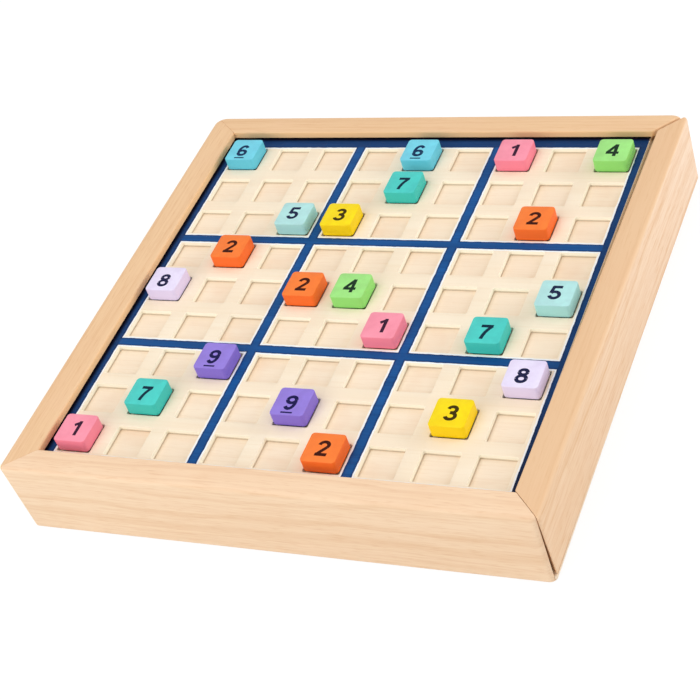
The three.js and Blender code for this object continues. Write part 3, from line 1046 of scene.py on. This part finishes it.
def is_well_rim(edge):
    """True for an edge of the top face at which the sheet turns down."""
    on_top = all(abs(vert.co.z - grid_high.z) < TINY for vert in edge.verts)
    return on_top and edge.is_manifold and abs(edge.calc_face_angle(0)) > SHARP_TURN


def grid_board():
    bm = bmesh.new()
    xs = well_lines(grid_low.x, grid_high.x - FREE_EDGE, GRID_MIDDLE.x)
    ys = well_lines(grid_low.y, grid_high.y, GRID_MIDDLE.y)
    cut_sheet(bm, xs, ys)
    corners = [edge for edge in bm.edges if is_well_corner(edge)]
    bmesh.ops.bevel(bm, geom=corners, offset=WELL_CORNER, segments=4, profile=0.5, affect="EDGES")
    rims = [edge for edge in bm.edges if is_well_rim(edge)]
    bmesh.ops.bevel(bm, geom=rims, offset=RIM_ROUND, segments=2, profile=0.5, affect="EDGES")
    bmesh.ops.recalc_face_normals(bm, faces=bm.faces)
    return finish_mesh("printed_grid", bm)


grid = grid_board()
dress(grid, printed_board)
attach(grid, "case")
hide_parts("grid_sheet")
print("Printed grid:", len(grid.data.polygons), "faces, 81 wells")

# %% [markdown]
# ## Floors of the wells
# The floors are one plain sheet of plywood behind the grid, so its solid only gets a finish. A well
# is painted darkest where its floor meets the walls, as painted shade: a wide faint shade and a
# thin dark line, both drawn by the distance from the middle of the well.

# %% Floors of the wells
SHADE_REACH = 2.6 * MM
SHADE_SHARE = 0.2
SHADE_LINE_REACH = 0.8 * MM
SHADE_LINE_SHARE = 0.32


# Painted shade: the floor darkens towards the walls of its well, softly and in a thin line.
def well_floor_painted_shade(tree, colour, streak):
    edge = middle_distance(tree, CELL_PITCH, SIDE_CELLS)
    wall = WELL_SIZE / 2
    shade = calculate(tree, "POWER", span(tree, edge, wall - SHADE_REACH, wall, 0, 1), 2.0)
    line = span(tree, edge, wall - SHADE_LINE_REACH, wall, 0, SHADE_LINE_SHARE)
    return mix_colours(tree, calculate(tree, "MULTIPLY_ADD", shade, SHADE_SHARE, line), colour, PAINTED_SHADE_BROWN)


well_floor = wood_finish("plywood_well_floor", along_y=False, seed=4.11, pith=(0.3, -0.5),
                         colours=PLYWOOD, ring_width=9 * MM, wander=20 * MM, depth=0.35,
                         shade=well_floor_painted_shade)
dress(nodes["backing_sheet"], well_floor)
print("The shade reaches", in_mm(SHADE_REACH), "mm into each well")

# %% [markdown]
# ## Kinds of stroke
# The digits are heavy upright figures, printed flat on the tiles. A font could give them, but then
# their look would hang on a file. They are drawn here as a signwriter would, in a few strokes of one
# weight: straight, round or bent. A stroke is a line of points, and its outline is found from that.

# %% Kinds of stroke
ARC_STEP = 15
BEND_STEPS = 8


def straight(x0, y0, x1, y1):
    return [Vector((x0, y0)), Vector((x1, y1))]


def arc(x, y, rx, ry, start, end):
    steps = max(2, round(abs(end - start) / ARC_STEP))
    turns = [radians(start + (end - start) * step / steps) for step in range(steps + 1)]
    return [Vector((x + rx * cos(turn), y + ry * sin(turn))) for turn in turns]


def bend(x0, y0, x1, y1, x2, y2):
    ends = [Vector((x0, y0)), Vector((x1, y1)), Vector((x2, y2))]
    shares = [step / BEND_STEPS for step in range(BEND_STEPS + 1)]
    return [ends[0] * (1 - t) ** 2 + ends[1] * 2 * t * (1 - t) + ends[2] * t ** 2 for t in shares]


def loop(x, y, rx, ry):
    """A closed round, in two halves."""
    return [arc(x, y, rx, ry, 0, 180), arc(x, y, rx, ry, 180, 360)]


def stroke_outline(line, weight):
    """The outline of a stroke: down one side of its line and back up the other."""
    sides = []
    for index in range(len(line)):
        before, after = line[max(index - 1, 0)], line[min(index + 1, len(line) - 1)]
        along = (after - before).normalized()
        sides.append(Vector((-along.y, along.x)) * weight / 2)
    there = [point - side for point, side in zip(line, sides)]
    back = [point + side for point, side in zip(line, sides)]
    return there + back[::-1]


print("A half round has", len(arc(0, 0, 1, 1, 0, 180)), "points")

# %% [markdown]
# ## Strokes of the digits
# Each digit stands in a box one unit high. Its strokes overlap where they meet, and they are united
# when they are cut into the tile. The nine is the six turned half round, which is also why both
# carry an underline.

# %% Strokes of the digits
STROKE = 0.195
UNDERLINE_WEIGHT = 0.1
DIGIT_WIDTH = 0.62

SIX = loop(0.31, 0.30, 0.205, 0.207) + [arc(0.325, 0.50, 0.222, 0.405, 200, 38)]
NINE = [[Vector((DIGIT_WIDTH - point.x, 1 - point.y)) for point in stroke] for stroke in SIX]
UNDERLINE = straight(0.03, -0.165, 0.59, -0.165)
DIGIT_STROKES = {
    "1": [straight(0.385, 0, 0.385, 1.0), straight(0.44, 0.93, 0.13, 0.70)],
    "2": [arc(0.30, 0.695, 0.207, 0.212, 178, -38), bend(0.463, 0.565, 0.36, 0.43, 0.12, 0.10),
          straight(0.03, 0.0925, 0.585, 0.0925)],
    "3": [arc(0.28, 0.715, 0.187, 0.193, 168, -90), arc(0.28, 0.302, 0.217, 0.210, 90, -168),
          straight(0.21, 0.515, 0.30, 0.515)],
    "4": [straight(0.435, 0.97, 0.06, 0.30), straight(0.0, 0.29, 0.62, 0.29),
          straight(0.435, 0, 0.435, 1.0)],
    "5": [straight(0.12, 0.9075, 0.555, 0.9075), straight(0.175, 0.96, 0.105, 0.46),
          arc(0.29, 0.325, 0.218, 0.232, 142, -168)],
    "6": SIX + [UNDERLINE],
    "7": [straight(0.03, 0.9075, 0.585, 0.9075), bend(0.535, 0.90, 0.245, 0.52, 0.215, 0.0)],
    "8": loop(0.30, 0.735, 0.178, 0.172) + loop(0.30, 0.30, 0.21, 0.207),
    "9": NINE + [UNDERLINE],
}
print("Strokes:", {digit: len(strokes) for digit, strokes in DIGIT_STROKES.items()})

# %% [markdown]
# ## The block of a tile
# A tile is a block of wood with rounded upright corners, eased edges and a foot that is cut in all
# round, so that it drops into its well. The shadow under that foot, with the foot's deeper paint as
# painted shade, draws the dark line round each tile. A cube and three bmesh operations give this
# form: a bevel of the upright edges, a cut above the foot, below which the points move inwards, and
# a finer bevel round the top and the bottom.

# %% The block of a tile
TILE_CORNER = 1.9 * MM
TILE_EDGE = 0.45 * MM
FOOT_EASE = 1.7 * MM
FOOT_HEIGHT = 2.6 * MM


def soft_block(bm, middle, low):
    """A tile's block that stands on the given point, alone in its mesh; returns its top face."""
    made = bmesh.ops.create_cube(bm, size=1)
    for vert in made["verts"]:
        vert.co = Vector((middle.x + vert.co.x * TILE_SIZE, middle.y + vert.co.y * TILE_SIZE,
                          low + (vert.co.z + 0.5) * TILE_HEIGHT))
    edges = {edge for vert in made["verts"] for edge in vert.link_edges}
    upright = [edge for edge in edges if abs(edge.verts[0].co.z - edge.verts[1].co.z) > TILE_HEIGHT / 2]
    bmesh.ops.bevel(bm, geom=upright, offset=TILE_CORNER, segments=4, profile=0.5, affect="EDGES")
    everything = bm.verts[:] + bm.edges[:] + bm.faces[:]
    bmesh.ops.bisect_plane(bm, geom=everything, plane_co=(0, 0, low + FOOT_HEIGHT), plane_no=(0, 0, 1))
    for vert in bm.verts:
        if vert.co.z < low + FOOT_HEIGHT / 2:
            vert.co.xy = middle + (vert.co.xy - middle) * (1 - 2 * FOOT_EASE / TILE_SIZE)
    caps = [face for face in bm.faces if abs(face.normal.z) > 0.9]
    rounds = list({edge for face in caps for edge in face.edges})
    bmesh.ops.bevel(bm, geom=rounds, offset=TILE_EDGE, segments=2, profile=0.5, affect="EDGES")
    return max(bm.faces, key=lambda face: face.calc_center_median().z)


print("Tile", in_mm(TILE_SIZE, TILE_HEIGHT), "mm, its foot cut in by", in_mm(FOOT_EASE), "mm")

# %% [markdown]
# ## Printing a digit
# A digit could be a thin plate over the tile, but two surfaces so close flicker. So the top face
# itself is cut along the digit's outline, by a triangulation that keeps every given edge, and the
# faces inside the outline take the ink. Each tile stays one closed body. Stamping is never quite
# central, so each digit has a small shift of its own.

# %% Printing a digit
DIGIT_HEIGHT = 10.0 * MM
DIGIT_STRETCH = 1.15
STAMP_SHIFT = {"1": (0.6, -0.4), "2": (0.3, -0.4), "3": (0.7, -0.3), "4": (0.1, -0.3), "5": (-0.3, 0.3),
               "6": (-0.1, -0.9), "7": (0.1, -1.4), "8": (-0.3, -1.5), "9": (-0.2, -0.9)}
INSIDE_FACES = 1
SAME_POINT = 1e-7


def digit_outlines(digit, middle):
    """The outlines of a digit's strokes, set round the middle of a tile."""
    size = Vector((DIGIT_WIDTH * DIGIT_STRETCH, 1)) * DIGIT_HEIGHT
    origin = middle + Vector(STAMP_SHIFT[digit]) * MM - size / 2
    outlines = []
    for stroke in DIGIT_STROKES[digit]:
        weight = UNDERLINE_WEIGHT if stroke is UNDERLINE else STROKE
        line = [Vector((point.x * DIGIT_STRETCH, point.y)) for point in stroke]
        outlines.append([origin + point * DIGIT_HEIGHT for point in stroke_outline(line, weight)])
    return outlines


def print_digit(bm, top, digit, middle):
    """Cuts the digit into the top face; the faces inside its outline get the second material."""
    height = top.verts[0].co.z
    border = list(top.verts)
    points = [vert.co.xy for vert in border]
    rings = [list(range(len(border)))]
    for outline in digit_outlines(digit, middle):
        rings.append(list(range(len(points), len(points) + len(outline))))
        points += outline
    cut = delaunay_2d_cdt(points, [], rings, INSIDE_FACES, SAME_POINT)
    found, _, faces, from_points, _, from_rings = cut
    bmesh.ops.delete(bm, geom=[top], context="FACES_ONLY")
    corners = []
    for point, sources in zip(found, from_points):
        on_border = [source for source in sources if source < len(border)]
        corners.append(border[on_border[0]] if on_border else bm.verts.new((point.x, point.y, height)))
    for face, sources in zip(faces, from_rings):
        made = bm.faces.new([corners[index] for index in face])
        made.material_index = 1 if any(source > 0 for source in sources) else 0


print("Digits", in_mm(DIGIT_HEIGHT), "mm high")

# %% [markdown]
# ## Numbered tiles
# A tile, or a whole row of spare tiles, is one piece. A row could be one block that is copied along,
# but each block is built alone, because its bevels and cuts ask for every edge and point of a mesh,
# and is then added to the piece.

# %% Numbered tiles
TILE_SHARP = 30


def numbered_tiles(name, digit, places):
    """One piece of one or more tiles with the same digit, standing on the given points."""
    bm = bmesh.new()
    for place in places:
        single = bmesh.new()
        top = soft_block(single, place.xy, place.z)
        print_digit(single, top, digit, place.xy)
        bmesh.ops.recalc_face_normals(single, faces=single.faces)
        held = bpy.data.meshes.new("held")
        single.to_mesh(held)
        single.free()
        bm.from_mesh(held)
        bpy.data.meshes.remove(held)
    return finish_mesh(name, bm, sharp=TILE_SHARP)


print("Edges of a tile stay sharp from", TILE_SHARP, "degrees")

# %% [markdown]
# ## Paint
# The paint is opaque and satin, in nine clear colours. On a real block it is never quite even: it
# clouds, and the wood grain shows through as faint ridges. The sides are painted a little deeper
# than the top, as painted shade, and the foot, which faces down into the well, deeper still, as
# painted shade of the gap round the tile. Which way a face looks tells these apart.

# %% Paint
PAINTS = {
    "1": (255, 152, 172), "2": (255, 128, 52), "3": (255, 222, 2),
    "4": (162, 232, 132), "5": (182, 231, 228), "6": (118, 213, 233),
    "7": (76, 208, 198), "8": (235, 224, 252), "9": (151, 128, 221),
}
THICK_PAINT = (0.97, 0.96, 0.97)
THIN_PAINT = (1.02, 1.03, 1.03)
# Deeper paints, as painted shade on the sides and on the foot
SIDE_SHADE_PAINT = {"white": 250, "power": 1.18}
FOOT_SHADE_PAINT = {"white": 130, "power": 1.6}
PAINT_GRAIN = {"along": 120, "across": 1500, "detail": 2.0}
PAINT_ROUGHNESS = (0.36, 0.5)
PAINT_MIRROR = 0.25
PAINT_RELIEF = 0.1 * MM
PAINT_BUMP = 0.12


def scaled(digit, shares):
    """A paint with its red, green and blue scaled, each up to full white at most."""
    return screen_colour(*(min(level * share, 255) for level, share in zip(PAINTS[digit], shares)))


def deeper(digit, white, power):
    """A paint made deeper: white becomes the given level, and the power strengthens the hue."""
    return screen_colour(*(white * (level / 255) ** power for level in PAINTS[digit]))


def paint_finish(digit):
    material, tree, shader = new_finish("paint_" + digit)
    thick = scaled(digit, THICK_PAINT)
    cloud = noise(tree, scale=160.0, detail=3.0)
    top = overlay(tree, thick, cloud, scaled(digit, THIN_PAINT), low=0.3, high=0.7, share=1)
    up = facing(tree, "Z")
    # Painted shade: the sides take a deeper paint than the top, and the down-facing foot a deeper one
    # still.
    shaded_paint = overlay(tree, deeper(digit, **SIDE_SHADE_PAINT), up, top, low=0.1, high=0.8, share=1)
    shaded_paint = mix_colours(tree, span(tree, up, -0.4, -0.2, 1, 0), shaded_paint, deeper(digit, **FOOT_SHADE_PAINT))
    grain = drawn_out(tree, frame_place(tree), **PAINT_GRAIN)["Fac"]
    set_surface(tree, shader, shaded_paint, grain, PAINT_ROUGHNESS, PAINT_MIRROR)
    raise_grain(tree, shader, grain, PAINT_BUMP, PAINT_RELIEF)
    return material


paints = {digit: paint_finish(digit) for digit in PAINTS}
print("Paints:", len(paints))

# %% [markdown]
# ## Ink
# The digits are printed in one navy ink, but they don't look alike: the ink is thin, and a strong
# paint shows through it, while the palest paints leave it blue. One colour for all would be simpler
# and would look pasted on. So each ink is mixed with its own paint, the more so the stronger that
# paint's hue is. It has sunk in, so it mirrors less than the paint.

# %% Ink
INK = (18, 22, 56)
SHOW_THROUGH = (60, 62, 100)
INK_WEAR = 12
INK_ROUGHNESS = (0.45, 0.6)
INK_MIRROR = 0.1


def ink_finish(digit):
    material, tree, shader = new_finish("digit_ink_" + digit)
    strength = min(2 * (1 - min(PAINTS[digit]) / max(PAINTS[digit])), 1)
    seen = [(level / 255) ** 2 * through for level, through in zip(PAINTS[digit], SHOW_THROUGH)]
    mixed = [navy + (tint - navy) * strength for navy, tint in zip(INK, seen)]
    worn = screen_colour(*(level + INK_WEAR for level in mixed))
    cloud = noise(tree, scale=700.0, detail=2.0)
    colour = overlay(tree, screen_colour(*mixed), cloud, worn, low=0.4, high=0.75, share=1)
    set_surface(tree, shader, colour, cloud, INK_ROUGHNESS, INK_MIRROR)
    return material


inks = {digit: ink_finish(digit) for digit in PAINTS}
print("Inks:", len(inks))

# %% [markdown]
# ## Tiles on the board
# Each tile of the puzzle rides on its own body, because each lifts out of its well by itself. Its
# node's name says which digit it bears, and its solid's box says where it stands, so one loop sets
# them all out.

# %% Tiles on the board
board_tiles = sorted(node for node in nodes if node.startswith("tile_"))
for node in board_tiles:
    digit = node.split("_")[1]
    low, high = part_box(node)
    place = Vector(((low.x + high.x) / 2, (low.y + high.y) / 2, low.z))
    tile = numbered_tiles("painted_" + node, digit, [place])
    dress(tile, paints[digit], inks[digit])
    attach(tile, node)
    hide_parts(node)
print("Tiles on the board:", len(board_tiles))

# %% [markdown]
# ## Spare tiles in the drawer
# The spare tiles lie in the drawer in nine rows, one for each digit. The solids join each row into
# one bar, because its tiles move together with the drawer. Here they are single tiles again, a hair
# apart, in one piece for each row.

# %% Spare tiles in the drawer
spare_count = 0
for digit in PAINTS:
    node = "spare_row_" + digit
    low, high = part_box(node)
    count = round((high.x - low.x) / TILE_SIZE)
    step = (high.x - low.x - TILE_SIZE) / (count - 1)
    middle = (low.y + high.y) / 2
    start = low.x + TILE_SIZE / 2 + lean(middle)
    places = [Vector((start + index * step, middle, low.z)) for index in range(count)]
    row = numbered_tiles("painted_" + node, digit, places)
    dress(row, paints[digit], inks[digit])
    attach(row, "drawer")
    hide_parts(node)
    spare_count += count
print("Spare tiles:", spare_count)
